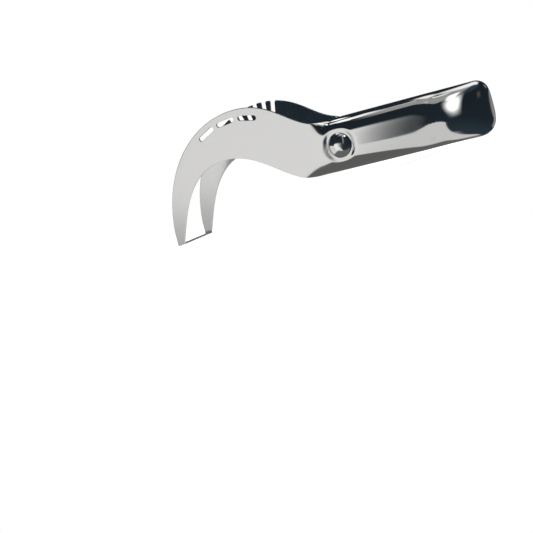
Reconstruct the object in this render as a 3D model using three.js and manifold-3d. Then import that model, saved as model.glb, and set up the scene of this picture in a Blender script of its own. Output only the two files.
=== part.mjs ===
// Watermelon slicer: two hooked sheet-steel arms tied by a tip blade, closed into one hollow handle.
// Millimetres, +Z up. The tool lies as it rests on a table, on its tip blade and its heel,
// with +X towards the handle and the slotted arm on the -Y side.
import * as THREE from "three";
import { mergeVertices } from "three/addons/utils/BufferGeometryUtils.js";
import Module from "manifold-3d";

const wasm = await Module();
wasm.setup();

// Overall and sheet
const LENGTH = 220; // back of the prongs to the heel
const SPAN = 37; // across the outer faces of the arms
const SHEET = 1.2; // thickness of the pressed sheet
const FIT = 0.3; // clearance between pieces that touch

// Arms, in side view
const CREST_X = 65; // crest of the back edge, from the back of the prongs
const CREST_HEIGHT = 67;
const BACK_DIP = 7; // centre of the back's oval sweep, below the table
const BELLY_CREST_X = 49.5; // crest of the hollow under the arms
const BELLY_CREST_HEIGHT = 40.3;
const TIP_WIDTH = 5; // prong width at the tip
const PRONG_LEAN = 63.5; // degrees, belly edge of the prong at the tip
const PRONG_REACH = 24; // how long the belly edge keeps that lean
const BELLY_REACH = 22; // how early the hollow levels out before its crest

// Neck, where the arms run into the handle
const NECK_BACK_X = 128; // where the back edges of the two sheets meet
const NECK_BELLY_X = 112.2; // where their belly edges meet
const BACK_SHOULDER = 36; // length of level back behind the crest
const BACK_SWEEP = 25; // length of nearly straight back before the neck
const BACK_DROP = 3; // how far that back aims below the handle's top line
const BELLY_SHOULDER = 30;
const BELLY_SWEEP = 24;
const MOUTH_DEPTH = 13; // depth of the open mouth of the handle
const MOUTH_LEAD = 1.3; // how late its edges turn in, 1 is even
const NECK_BLEND = 34; // length over which the square section gets rounder
const NECK_FULLNESS = 4; // how square the section starts, see HANDLE_FULLNESS

// Handle
const HANDLE_SLOPE = 5.8; // degrees, falling to the heel
const HANDLE_HEIGHT = 31.6;
const HANDLE_FULLNESS = 3.6; // 2 is an ellipse, more is squarer
const TAPER_FROM_HEEL = 88; // where the handle starts to narrow
const WAIST_FROM_HEEL = 42; // its narrowest place
const WAIST_WIDTH = 34.6;
const HEEL_WIDTH = 35.2; // the ball-shaped end
const HEEL_FULLNESS = 2.2;
const HEEL_BLEND = 16; // length over which the section gets rounder towards the heel
const HEEL_ROUND = 28; // length of the rounded end, in plan
const HEEL_LOWER_R = 10;
const HEEL_UPPER_R = 8;
const SEAM = 1.2; // gap between the half handles, filled by the weld

// Slots in the near arm and comb in the far arm, on one arc under the crest
const ARC_OFFSET = -1.8; // arc centre, along X from the crest
const ARC_RADIUS = 53.5;
const SLOT_COUNT = 3;
const SLOT_PITCH = 18.4; // degrees
const SLOT_LENGTH = 12.4;
const SLOT_WIDTH = 3;
const SLOT_INSET = 5.5; // slot middle, below the arc
const NOTCH_COUNT = 6;
const NOTCH_PITCH = 7; // degrees
const NOTCH_TURN = 1; // degrees, middle of the comb past the arc's middle
const NOTCH_WIDTH = 3;
const NOTCH_DEPTH = 11.5; // below the arc

// Neck rivet with its domed head, cap and spacer
const RIVET_FROM_HEEL = 90.2;
const HEAD_R = 7.4;
const HEAD_HEIGHT = 4;
const HEAD_RIM = 0.5; // straight edge of the head
const SHANK_R = 3;
const SEAT_SPAN = 35; // across the two pressed seats
const SEAT_MARGIN = 0.8; // flat seat beyond the head
const SEAT_BLEND = 2.6; // ring that blends the seat into the handle
const SPACER_WALL = 2.2;
const CAP_BORE = 2.4; // depth of the cap's blind bore

// Tip blade and its welds
const BLADE_THICKNESS = 1.2;
const BLADE_SETBACK = 0.4; // trailing edge, from the back of the prongs
const BLADE_BEVEL = 1.6;
const WELD_LEG = 1.6;
const WELD_SETBACK = 0.4; // weld ends, inside the blade's flat top

// Fineness of the surfaces
const COLUMNS = 20; // across the sheet, back edge to belly edge
const PRONG_STEPS = 12;
const BELLY_LEAD = 0.8; // the belly's stations run ahead, so section lines stay square to the prong
const SHOULDER_STEPS = 8;
const MOUTH_STEPS = 8;
const SEAT_STEPS = 11;
const GRIP_STEPS = 10;
const HEEL_STEPS = 8;
const DOME_STEPS = 7;
const ROUND_SIDES = 32;

const { degToRad, lerp, smoothstep } = THREE.MathUtils;
const QUARTER_TURN = Math.PI / 2;

// Handle frame: a runs along the handle and ends at the heel with 0, h rises from the belly line.
const slope = degToRad(HANDLE_SLOPE);
const lowerCornerX =
  LENGTH -
  HEEL_UPPER_R -
  (HEEL_LOWER_R - HEEL_UPPER_R) * Math.cos(slope) -
  (HANDLE_HEIGHT - HEEL_UPPER_R - HEEL_LOWER_R) * Math.sin(slope);
const heelX = lowerCornerX + HEEL_LOWER_R * (Math.cos(slope) - Math.sin(slope));
const heelZ = HEEL_LOWER_R * (1 - Math.sin(slope) - Math.cos(slope));

function handlePoint(a, h) {
  return new THREE.Vector2(
    heelX + a * Math.cos(slope) + h * Math.sin(slope),
    heelZ - a * Math.sin(slope) + h * Math.cos(slope),
  );
}

// Distance along the handle at which the line at height h reaches x.
function alongAtX(x, h) {
  return (x - heelX - h * Math.sin(slope)) / Math.cos(slope);
}

const neckBackA = alongAtX(NECK_BACK_X, HANDLE_HEIGHT);
const neckBellyA = alongAtX(NECK_BELLY_X, 0);
const rivetPoint = handlePoint(-RIVET_FROM_HEEL, HANDLE_HEIGHT / 2);
const seatY = SEAT_SPAN / 2;
const seatR = HEAD_R + SEAT_MARGIN;
const holeR = SHANK_R + FIT;

// Side-view edges of one sheet
function edgeCurves() {
  const v = (x, z) => new THREE.Vector2(x, z);
  const lean = degToRad(PRONG_LEAN);
  const dip = Math.asin(BACK_DIP / (CREST_HEIGHT + BACK_DIP));
  const crest = v(CREST_X, CREST_HEIGHT);
  const bellyCrest = v(BELLY_CREST_X, BELLY_CREST_HEIGHT);
  return {
    prongBack: new THREE.EllipseCurve(
      CREST_X,
      -BACK_DIP,
      CREST_X / Math.cos(dip),
      CREST_HEIGHT + BACK_DIP,
      Math.PI - dip,
      QUARTER_TURN,
      true,
    ),
    prongBelly: new THREE.CubicBezierCurve(
      v(TIP_WIDTH, 0),
      v(TIP_WIDTH + PRONG_REACH * Math.cos(lean), PRONG_REACH * Math.sin(lean)),
      v(BELLY_CREST_X - BELLY_REACH, BELLY_CREST_HEIGHT),
      bellyCrest,
    ),
    neckBack: new THREE.CubicBezierCurve(
      crest,
      v(CREST_X + BACK_SHOULDER, CREST_HEIGHT),
      handlePoint(neckBackA - BACK_SWEEP, HANDLE_HEIGHT - BACK_DROP),
      handlePoint(neckBackA, HANDLE_HEIGHT),
    ),
    neckBelly: new THREE.CubicBezierCurve(
      bellyCrest,
      v(BELLY_CREST_X + BELLY_SHOULDER, BELLY_CREST_HEIGHT),
      handlePoint(neckBellyA - BELLY_SWEEP, 0),
      handlePoint(neckBellyA, 0),
    ),
  };
}

// Parameter at which a curve that runs along +X reaches x.
function parameterAtX(curve, x) {
  let low = 0;
  let high = 1;
  for (let i = 0; i < 40; i++) {
    const middle = (low + high) / 2;
    if (curve.getPoint(middle).x < x) low = middle;
    else high = middle;
  }
  return low;
}

// Height of the rounded heel's outline at a, for an outline set in by inset.
function heelDrop(a, radius, inset) {
  const into = Math.max(0, a + radius);
  const r = radius - inset;
  return r - Math.sqrt(Math.max(0, r * r - into * into));
}

// Stations from the prong tip to the heel. Each holds the outer and the inner face's section line,
// how far the section folds in to the seam (0 flat, 1 closed) and how square that fold is.
function stations() {
  const edges = edgeCurves();
  const list = [];
  const mouthT = parameterAtX(edges.neckBack, NECK_BACK_X - MOUTH_DEPTH);
  const mouthX = (edges.neckBack.getPoint(mouthT).x + edges.neckBelly.getPoint(mouthT).x) / 2;

  function add(back, belly, fold) {
    const middleX = (back.x + belly.x) / 2;
    const along = alongAtX(middleX, HANDLE_HEIGHT / 2);
    const rounding = smoothstep(middleX, mouthX, mouthX + NECK_BLEND);
    const waisting = smoothstep(along, -TAPER_FROM_HEEL, -WAIST_FROM_HEEL);
    const swelling = smoothstep(along, -WAIST_FROM_HEEL, -HEEL_ROUND);
    const ending = smoothstep(along, -HEEL_ROUND - HEEL_BLEND, -HEEL_ROUND);
    const half = lerp(lerp(SPAN, WAIST_WIDTH, waisting), HEEL_WIDTH, swelling) / 2;
    const grip = lerp(NECK_FULLNESS, HANDLE_FULLNESS, rounding);
    const inward = belly.clone().sub(back).setLength(SHEET * fold);
    list.push({
      fold,
      fullness: lerp(grip, HEEL_FULLNESS, ending),
      outer: { back, belly, bulge: half - SEAM / 2 },
      inner: {
        back: back.clone().add(inward),
        belly: belly.clone().sub(inward),
        bulge: half - SHEET - SEAM / 2,
      },
    });
  }

  for (let i = 0; i < PRONG_STEPS; i++) {
    const t = i / PRONG_STEPS;
    const back = edges.prongBack.getPoint(t);
    add(back, edges.prongBelly.getPoint(Math.pow(t, BELLY_LEAD)), 0);
  }
  for (let i = 0; i < SHOULDER_STEPS; i++) {
    const t = (mouthT * i) / SHOULDER_STEPS;
    add(edges.neckBack.getPoint(t), edges.neckBelly.getPoint(t), 0);
  }
  // Mouth: in plan the edges of the two sheets sweep in to the seam as a soft V.
  for (let i = 0; i < MOUTH_STEPS; i++) {
    const t = lerp(mouthT, 1, i / MOUTH_STEPS);
    const sweep = QUARTER_TURN * Math.pow(i / MOUTH_STEPS, MOUTH_LEAD);
    const fold = Math.sin(sweep) ** 2;
    add(edges.neckBack.getPoint(t), edges.neckBelly.getPoint(t), fold);
  }
  // Handle: close stations round the rivet seat, then long ones along the grip.
  const neckA = (neckBackA + neckBellyA) / 2;
  const seatShare = (seatR + SEAT_BLEND - RIVET_FROM_HEEL - neckA) / (-HEEL_ROUND - neckA);
  const addGrip = (share) => {
    const back = handlePoint(lerp(neckBackA, -HEEL_ROUND, share), HANDLE_HEIGHT);
    add(back, handlePoint(lerp(neckBellyA, -HEEL_ROUND, share), 0), 1);
  };
  for (let i = 0; i < SEAT_STEPS; i++) addGrip((seatShare * i) / SEAT_STEPS);
  for (let i = 0; i < GRIP_STEPS; i++) addGrip(lerp(seatShare, 1, i / GRIP_STEPS));
  // Heel: a half oval in plan, with rounded corners in side view.
  for (let i = 0; i <= HEEL_STEPS; i++) {
    const turn = (QUARTER_TURN * i) / HEEL_STEPS;
    const face = (inset) => {
      const a = -HEEL_ROUND + (HEEL_ROUND - inset) * Math.sin(turn);
      const top = HANDLE_HEIGHT - inset - heelDrop(a, HEEL_UPPER_R, inset);
      return {
        back: handlePoint(a, top),
        belly: handlePoint(a, inset + heelDrop(a, HEEL_LOWER_R, inset)),
        bulge: (HEEL_WIDTH / 2 - inset - SEAM / 2) * Math.cos(turn),
      };
    };
    list.push({ fold: 1, fullness: HEEL_FULLNESS, outer: face(0), inner: face(SHEET) });
  }
  return list;
}

// One corner of the sheet's surface: x, distance from the middle plane, z.
function sheetPoint(station, column, isOuter) {
  const section = isOuter ? station.outer : station.inner;
  const turn = QUARTER_TURN * (1 - (2 * column) / COLUMNS);
  const height = Math.pow(Math.abs(Math.sin(turn)), 2 / HANDLE_FULLNESS);
  const rise = Math.sign(turn) * height;
  const n = station.fullness;
  const tuck = 1 - Math.pow(Math.max(0, 1 - Math.pow(height, n)), 1 / n);
  const point = section.belly.clone().lerp(section.back, (rise + 1) / 2);
  const folded = SEAM / 2 + section.bulge * (1 - station.fold * tuck);

  // Flat seat pressed in round the rivet
  const pressed = 1 - smoothstep(point.distanceTo(rivetPoint), seatR, seatR + SEAT_BLEND);
  const y = lerp(folded, isOuter ? seatY : seatY - SHEET, pressed);
  return [point.x, y, point.y];
}

// Closed mesh of one sheet; side is -1 for the near one and 1 for the far one.
function sheetGeometry(side) {
  const rows = stations();
  const last = rows.length - 1;
  const width = COLUMNS + 1;
  const innerStart = rows.length * width;
  const positions = [];
  for (const isOuter of [true, false]) {
    for (const row of rows) {
      for (let j = 0; j <= COLUMNS; j++) {
        const [x, y, z] = sheetPoint(row, j, isOuter);
        positions.push(x, side * y, z);
      }
    }
  }
  const index = [];
  const face = (a, b, c) => (side < 0 ? index.push(a, b, c) : index.push(a, c, b));
  for (let i = 0; i < last; i++) {
    for (let j = 0; j < COLUMNS; j++) {
      const a = i * width + j;
      const b = a + width;
      face(a, a + 1, b);
      face(b, a + 1, b + 1);
      face(innerStart + a, innerStart + b, innerStart + a + 1);
      face(innerStart + b, innerStart + b + 1, innerStart + a + 1);
    }
  }
  const rim = [];
  for (let j = 0; j < COLUMNS; j++) rim.push(j);
  for (let i = 0; i < last; i++) rim.push(i * width + COLUMNS);
  for (let j = COLUMNS; j > 0; j--) rim.push(last * width + j);
  for (let i = last; i > 0; i--) rim.push(i * width);
  rim.forEach((p, k) => {
    const q = rim[(k + 1) % rim.length];
    face(q, p, innerStart + p);
    face(q, innerStart + p, innerStart + q);
  });
  const geometry = new THREE.BufferGeometry();
  geometry.setAttribute("position", new THREE.Float32BufferAttribute(positions, 3));
  geometry.setIndex(index);
  return geometry;
}

function toSolid(geometry) {
  const bare = geometry.clone();
  bare.deleteAttribute("normal");
  bare.deleteAttribute("uv");
  const merged = mergeVertices(bare);
  return new wasm.Manifold(
    new wasm.Mesh({
      numProp: 3,
      vertProperties: merged.attributes.position.array,
      triVerts: new Uint32Array(merged.index.array),
    }),
  );
}

function toGeometry(solid) {
  const mesh = solid.getMesh();
  const geometry = new THREE.BufferGeometry();
  geometry.setAttribute("position", new THREE.BufferAttribute(mesh.vertProperties, 3));
  geometry.setIndex(new THREE.BufferAttribute(mesh.triVerts, 1));
  geometry.computeVertexNormals();
  return geometry;
}

// Long hole with round ends, centred on the origin and lying along X.
function longHole(length, width) {
  const r = width / 2;
  const reach = length / 2 - r;
  const shape = new THREE.Shape();
  shape.absarc(reach, 0, r, -QUARTER_TURN, QUARTER_TURN);
  shape.absarc(-reach, 0, r, QUARTER_TURN, 3 * QUARTER_TURN);
  return shape;
}

// Cutter through one sheet: the shape stands in the XZ plane, tilted by angle.
function cutter(shape, x, y, z, angle) {
  const depth = SPAN / 2;
  const geometry = new THREE.ExtrudeGeometry(shape, {
    depth,
    bevelEnabled: false,
    curveSegments: 8,
  });
  geometry.translate(0, 0, -depth / 2);
  geometry.rotateX(QUARTER_TURN);
  geometry.rotateY(-angle);
  geometry.translate(x, y, z);
  return toSolid(geometry);
}

// A cutter at an angle on the arc under the crest, below is its middle's depth under the arc.
function arcCutter(shape, side, offAngle, below, tilt) {
  const radius = ARC_RADIUS - below;
  const x = CREST_X + ARC_OFFSET + radius * Math.sin(offAngle);
  const z = CREST_HEIGHT - ARC_RADIUS + radius * Math.cos(offAngle);
  return cutter(shape, x, (side * SPAN) / 2, z, tilt - offAngle);
}

function spread(count, pitch) {
  const angles = [];
  for (let i = 0; i < count; i++) angles.push(degToRad((i - (count - 1) / 2) * pitch));
  return angles;
}

function rivetHole(side) {
  const shape = new THREE.Shape().absarc(0, 0, holeR, 0, 4 * QUARTER_TURN);
  return cutter(shape, rivetPoint.x, (side * SPAN) / 2, rivetPoint.y, 0);
}

function nearShell() {
  const slot = longHole(SLOT_LENGTH, SLOT_WIDTH);
  const cuts = spread(SLOT_COUNT, SLOT_PITCH).map((angle) =>
    arcCutter(slot, -1, angle, SLOT_INSET, 0),
  );
  return carved(sheetGeometry(-1), [...cuts, rivetHole(-1)]);
}

function farShell() {
  const notch = longHole(2 * NOTCH_DEPTH, NOTCH_WIDTH);
  const cuts = spread(NOTCH_COUNT, NOTCH_PITCH).map((angle) =>
    arcCutter(notch, 1, angle + degToRad(NOTCH_TURN), 0, QUARTER_TURN),
  );
  return carved(sheetGeometry(1), [...cuts, rivetHole(1)]);
}

function carved(geometry, cuts) {
  let solid = toSolid(geometry);
  for (const cut of cuts) solid = solid.subtract(cut);
  return toGeometry(solid);
}

// Turned profile of a domed head: from its pole to its rim, at radius and height above its flat.
function domeProfile() {
  const rise = HEAD_HEIGHT - HEAD_RIM;
  const sphereR = (HEAD_R * HEAD_R + rise * rise) / (2 * rise);
  const sweep = Math.asin(HEAD_R / sphereR);
  const points = [];
  for (let i = 0; i <= DOME_STEPS; i++) {
    const angle = (sweep * i) / DOME_STEPS;
    const height = HEAD_HEIGHT - sphereR * (1 - Math.cos(angle));
    points.push([i ? sphereR * Math.sin(angle) : 0, height]);
  }
  points.push([HEAD_R, 0]);
  return points;
}

// Lathe solid about the Y axis, from points of radius and y that run towards +Y.
function turned(points) {
  const profile = points.map(([r, y]) => new THREE.Vector2(r, y));
  return new THREE.LatheGeometry(profile, ROUND_SIDES);
}

const headY = seatY + FIT; // flat of the heads
const shankEnd = headY + CAP_BORE - FIT;

function rivet() {
  const head = domeProfile().map(([r, height]) => [r, -headY - height]);
  return turned([...head, [SHANK_R, -headY], [SHANK_R, shankEnd], [0, shankEnd]]);
}

function rivetCap() {
  const bore = [
    [0, headY + CAP_BORE],
    [holeR, headY + CAP_BORE],
    [holeR, headY],
  ];
  const head = domeProfile().map(([r, height]) => [r, headY + height]);
  return turned([...bore, ...head.reverse()]);
}

function spacer() {
  const end = seatY - SHEET - FIT;
  const outerR = holeR + SPACER_WALL;
  return turned([
    [holeR, -end],
    [outerR, -end],
    [outerR, end],
    [holeR, end],
    [holeR, -end],
  ]);
}

// Weld along the top, round the heel and along the belly, in the handle frame.
function seamWeld() {
  const shape = new THREE.Shape();
  const top = HANDLE_HEIGHT;
  const upperZ = top - HEEL_UPPER_R;
  shape.moveTo(neckBellyA, SHEET);
  shape.lineTo(neckBellyA, 0);
  shape.absarc(-HEEL_LOWER_R, HEEL_LOWER_R, HEEL_LOWER_R, -QUARTER_TURN, 0);
  shape.absarc(-HEEL_UPPER_R, upperZ, HEEL_UPPER_R, 0, QUARTER_TURN);
  shape.lineTo(neckBackA, top);
  shape.lineTo(neckBackA, top - SHEET);
  shape.absarc(-HEEL_UPPER_R, upperZ, HEEL_UPPER_R - SHEET, QUARTER_TURN, 0, true);
  shape.absarc(-HEEL_LOWER_R, HEEL_LOWER_R, HEEL_LOWER_R - SHEET, 0, -QUARTER_TURN, true);
  shape.closePath();
  return plate(shape, SEAM - 2 * FIT);
}

// Flat plate: the shape stands in the XZ plane, its thickness is centred on the middle plane.
function plate(shape, thickness) {
  const geometry = new THREE.ExtrudeGeometry(shape, {
    depth: thickness,
    bevelEnabled: false,
    curveSegments: HEEL_STEPS,
  });
  geometry.translate(0, 0, -thickness / 2);
  geometry.rotateX(QUARTER_TURN);
  return geometry;
}

const prongInnerY = SPAN / 2 - SHEET; // inner face of the prongs

function tipBlade() {
  const shape = new THREE.Shape();
  shape.moveTo(BLADE_SETBACK, 0);
  shape.lineTo(TIP_WIDTH, 0);
  shape.lineTo(TIP_WIDTH - BLADE_BEVEL, BLADE_THICKNESS);
  shape.lineTo(BLADE_SETBACK, BLADE_THICKNESS);
  return plate(shape, 2 * (prongInnerY - FIT));
}

// Fillet weld in the corner between the blade's top and a prong, lying along X.
function tipWeld(side) {
  const start = BLADE_SETBACK + WELD_SETBACK;
  const length = TIP_WIDTH - BLADE_BEVEL - WELD_SETBACK - start;
  const corner = prongInnerY - FIT;
  const floor = BLADE_THICKNESS + FIT;
  const shape = new THREE.Shape();
  shape.moveTo(side * corner, floor);
  shape.lineTo(side * corner, floor + WELD_LEG);
  shape.lineTo(side * (corner - WELD_LEG), floor);
  const geometry = new THREE.ExtrudeGeometry(shape, { depth: length, bevelEnabled: false });
  geometry.rotateX(QUARTER_TURN);
  geometry.rotateZ(QUARTER_TURN);
  geometry.translate(start, 0, 0);
  return geometry;
}

const satin = { color: 0xc4c5c6, roughness: 0.32, metalness: 1 };
const polished = { color: 0xcfd0d1, roughness: 0.12, metalness: 1 };
const weldMetal = { color: 0xb4b5b6, roughness: 0.4, metalness: 1 };

function part(name, geometry, look) {
  const mesh = new THREE.Mesh(geometry, new THREE.MeshStandardMaterial(look));
  mesh.name = name;
  return mesh;
}

const slicer = new THREE.Group();
const tool = new THREE.Group();
tool.position.x = -LENGTH / 2;
slicer.add(tool);

tool.add(part("near_side_shell", nearShell(), polished));
tool.add(part("far_side_shell", farShell(), polished));
tool.add(part("tip_blade", tipBlade(), satin));
tool.add(part("near_tip_weld", tipWeld(-1), weldMetal));
tool.add(part("far_tip_weld", tipWeld(1), weldMetal));

const neck = new THREE.Group();
neck.position.set(rivetPoint.x, 0, rivetPoint.y);
neck.add(part("neck_rivet", rivet(), polished));
neck.add(part("neck_rivet_cap", rivetCap(), polished));
neck.add(part("neck_spacer", spacer(), satin));
tool.add(neck);

const handle = new THREE.Group();
handle.position.set(heelX, 0, heelZ);
handle.rotation.y = slope;
handle.add(part("handle_seam_weld", seamWeld(), weldMetal));
tool.add(handle);

export default slicer;
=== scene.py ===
"""Watermelon slicer: pressed steel arms and handle, tip blade, neck rivet and welds."""

import math
from collections import namedtuple

import bmesh
import bpy
from mathutils import Matrix, Vector


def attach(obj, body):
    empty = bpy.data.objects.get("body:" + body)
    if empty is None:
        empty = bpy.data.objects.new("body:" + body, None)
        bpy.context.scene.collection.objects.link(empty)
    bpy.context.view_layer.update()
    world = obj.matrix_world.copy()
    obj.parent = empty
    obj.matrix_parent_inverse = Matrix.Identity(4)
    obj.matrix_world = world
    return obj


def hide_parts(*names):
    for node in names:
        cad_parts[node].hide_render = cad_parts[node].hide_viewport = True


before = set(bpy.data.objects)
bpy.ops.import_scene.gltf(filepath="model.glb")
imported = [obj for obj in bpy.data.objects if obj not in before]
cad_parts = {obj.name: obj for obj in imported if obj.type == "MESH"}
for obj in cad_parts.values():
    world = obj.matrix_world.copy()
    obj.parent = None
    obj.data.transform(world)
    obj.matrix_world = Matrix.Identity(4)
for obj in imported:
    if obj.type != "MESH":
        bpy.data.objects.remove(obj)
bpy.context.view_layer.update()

MM = 0.001
QUARTER_TURN = math.pi / 2
HALVINGS = 40  # steps of a search along a curve
MERGE_DISTANCE = 1e-6  # metres

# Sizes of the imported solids, in millimetres, with x measured from the back of the prongs
LENGTH = 220
SPAN = 37
SHEET = 1.2
FIT = 0.3

CREST_X = 65
CREST_HEIGHT = 67
BACK_DIP = 7
BELLY_CREST_X = 49.5
BELLY_CREST_HEIGHT = 40.3
TIP_WIDTH = 5
PRONG_LEAN = math.radians(63.5)
PRONG_REACH = 24
BELLY_REACH = 22
BELLY_LEAD = 0.8  # the belly's stations run ahead, so section lines stay square to the prong

NECK_BACK_X = 128
NECK_BELLY_X = 112.2
BACK_SHOULDER = 36
BACK_SWEEP = 25
BACK_DROP = 3
BELLY_SHOULDER = 30
BELLY_SWEEP = 24
MOUTH_DEPTH = 13
MOUTH_LEAD = 1.3
NECK_BLEND = 34
NECK_FULLNESS = 4

HANDLE_SLOPE = math.radians(5.8)
HANDLE_HEIGHT = 31.6
TAPER_FROM_HEEL = 88
WAIST_FROM_HEEL = 42
WAIST_WIDTH = 34.6
HANDLE_FULLNESS = 3.6
HEEL_WIDTH = 35.2
HEEL_FULLNESS = 2.2
HEEL_BLEND = 16
HEEL_ROUND = 28
HEEL_LOWER_R = 10
HEEL_UPPER_R = 8
SEAM = 1.2

ARC_CENTRE_X = CREST_X - 1.8
ARC_RADIUS = 53.5
ARC_CENTRE_Z = CREST_HEIGHT - ARC_RADIUS
SLOT_COUNT = 3
SLOT_PITCH = math.radians(18.4)
SLOT_LENGTH = 12.4
SLOT_WIDTH = 3
SLOT_INSET = 5.5
NOTCH_COUNT = 6
NOTCH_PITCH = math.radians(7)
NOTCH_TURN = math.radians(1.0)
NOTCH_WIDTH = 3
NOTCH_DEPTH = 11.5

RIVET_FROM_HEEL = 90.2
HEAD_R = 7.4
HEAD_HEIGHT = 4
SHANK_R = 3
SEAT_SPAN = 35
SEAT_MARGIN = 0.8
SEAT_BLEND = 2.6
CAP_BORE = 2.4

BLADE_THICKNESS = 1.2
BLADE_SETBACK = 0.4
BLADE_BEVEL = 1.6
WELD_LEG = 1.6

# Finer finish than the solids have, in millimetres
EDGE_ROUND = 0.3  # rounded rims of the sheet
RIM_ROUND = 0.22  # rounded rims of slots and comb
TOOTH_ROUND = 0.4  # rounded corners of the comb's teeth
HEAD_ROUND = 0.5  # rounded edge of the rivet's head
HEAD_GAP = 0.02  # lift of the head's profile off its seat
HEAD_FLAT = 0.02  # height of the flat underside in that profile
CHAMFER_TOP = 0.08  # where the head's eased lower edge starts
CHAMFER_WIDTH = 0.1  # and how far it runs in
EDGE_BACK = 0.15  # blunted cutting edge of the blade, along its underside
EDGE_UP = 0.12  # and up from it
BLADE_EASE = 0.12  # eased corners of the blade

# Fineness of the meshes
LEAD_START = 0.1  # share of the prong over which the belly's lead sets in
ROUND_STEPS = 4
FIELD_COLUMNS = 46
PRONG_ROWS = 44
SHOULDER_ROWS = 34
MOUTH_ROWS = 22
SEAT_ROWS = 48
GRIP_ROWS = 24
HEEL_ROWS = 32
TURNED_SIDES = 72
BEAD_CORNER_STEPS = 4
EASE_STEPS = 2

# Edges that turn by more than this stay crisp, in degrees
SHEET_CRISP = 24
TURNED_CRISP = 35
SEAM_CRISP = 30
BEAD_CRISP = 50
BLADE_CRISP = 40


def lerp(a, b, t):
    return a + (b - a) * t


def smoothstep(x, low, high):
    t = min(1, max(0, (x - low) / (high - low)))
    return t * t * (3 - 2 * t)


def signed_power(x, power):
    return math.copysign(abs(x) ** power, x)


def placed(x, y, z):
    """A point of the tool in millimetres, as a point of the frame in metres."""
    return Vector(((x - LENGTH / 2) * MM, y * MM, z * MM))


# Handle frame: a runs along the handle and ends at the heel with 0, h rises from the belly line.
corner_x = (
    LENGTH
    - HEEL_UPPER_R
    - (HEEL_LOWER_R - HEEL_UPPER_R) * math.cos(HANDLE_SLOPE)
    - (HANDLE_HEIGHT - HEEL_UPPER_R - HEEL_LOWER_R) * math.sin(HANDLE_SLOPE)
)
HEEL_X = corner_x + HEEL_LOWER_R * (math.cos(HANDLE_SLOPE) - math.sin(HANDLE_SLOPE))
HEEL_Z = HEEL_LOWER_R * (1 - math.sin(HANDLE_SLOPE) - math.cos(HANDLE_SLOPE))


def handle_point(a, h):
    """A point of the handle's side view, as x and z of the tool."""
    return Vector((
        HEEL_X + a * math.cos(HANDLE_SLOPE) + h * math.sin(HANDLE_SLOPE),
        HEEL_Z - a * math.sin(HANDLE_SLOPE) + h * math.cos(HANDLE_SLOPE),
    ))


def along_at_x(x, h):
    """Place along the handle of a point at x of the tool and h above the belly line."""
    return (x - HEEL_X - h * math.sin(HANDLE_SLOPE)) / math.cos(HANDLE_SLOPE)


NECK_BACK_A = along_at_x(NECK_BACK_X, HANDLE_HEIGHT)
NECK_BELLY_A = along_at_x(NECK_BELLY_X, 0)
RIVET = handle_point(-RIVET_FROM_HEEL, HANDLE_HEIGHT / 2)
SEAT_Y = SEAT_SPAN / 2
SEAT_R = HEAD_R + SEAT_MARGIN
HOLE_R = SHANK_R + FIT
PRONG_INNER_Y = SPAN / 2 - SHEET


def bezier(points, t):
    p0, p1, p2, p3 = points
    s = 1 - t
    return s**3 * p0 + 3 * s * s * t * p1 + 3 * s * t * t * p2 + t**3 * p3


PRONG_BELLY = (
    Vector((TIP_WIDTH, 0)),
    Vector((TIP_WIDTH + PRONG_REACH * math.cos(PRONG_LEAN), PRONG_REACH * math.sin(PRONG_LEAN))),
    Vector((BELLY_CREST_X - BELLY_REACH, BELLY_CREST_HEIGHT)),
    Vector((BELLY_CREST_X, BELLY_CREST_HEIGHT)),
)
NECK_BACK = (
    Vector((CREST_X, CREST_HEIGHT)),
    Vector((CREST_X + BACK_SHOULDER, CREST_HEIGHT)),
    handle_point(NECK_BACK_A - BACK_SWEEP, HANDLE_HEIGHT - BACK_DROP),
    handle_point(NECK_BACK_A, HANDLE_HEIGHT),
)
NECK_BELLY = (
    Vector((BELLY_CREST_X, BELLY_CREST_HEIGHT)),
    Vector((BELLY_CREST_X + BELLY_SHOULDER, BELLY_CREST_HEIGHT)),
    handle_point(NECK_BELLY_A - BELLY_SWEEP, 0),
    handle_point(NECK_BELLY_A, 0),
)


def prong_back(t):
    """Back edge of the prong, a stretch of an oval from the tip to the crest."""
    dip = math.asin(BACK_DIP / (CREST_HEIGHT + BACK_DIP))
    angle = lerp(math.pi - dip, QUARTER_TURN, t)
    return Vector((
        CREST_X + CREST_X / math.cos(dip) * math.cos(angle),
        (CREST_HEIGHT + BACK_DIP) * math.sin(angle) - BACK_DIP,
    ))


def parameter_at_x(curve, x):
    """Where a curve that runs towards the heel passes x."""
    low, high = 0.0, 1.0
    for _ in range(HALVINGS):
        middle = (low + high) / 2
        if bezier(curve, middle).x < x:
            low = middle
        else:
            high = middle
    return low


# The sheet is a stack of rows from the prong tip to the heel. Each row has a section of the outer
# face and one of the inner face, and a fold that goes from 0, a flat arm, to 1, a half handle.
Section = namedtuple("Section", "back belly bulge")
Row = namedtuple("Row", "outer inner fold fullness from_tip")


def heel_drop(a, radius, inset):
    """How far a rounded corner of the heel falls back from the handle's straight edge."""
    into = max(0, a + radius)
    r = radius - inset
    return r - math.sqrt(max(0, r * r - into * into))


def round_distances():
    """Distances from a rim at which its rounding is sampled."""
    turns = [QUARTER_TURN * i / ROUND_STEPS for i in range(ROUND_STEPS + 1)]
    return [EDGE_ROUND * (1 - math.cos(turn)) for turn in turns]


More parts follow.
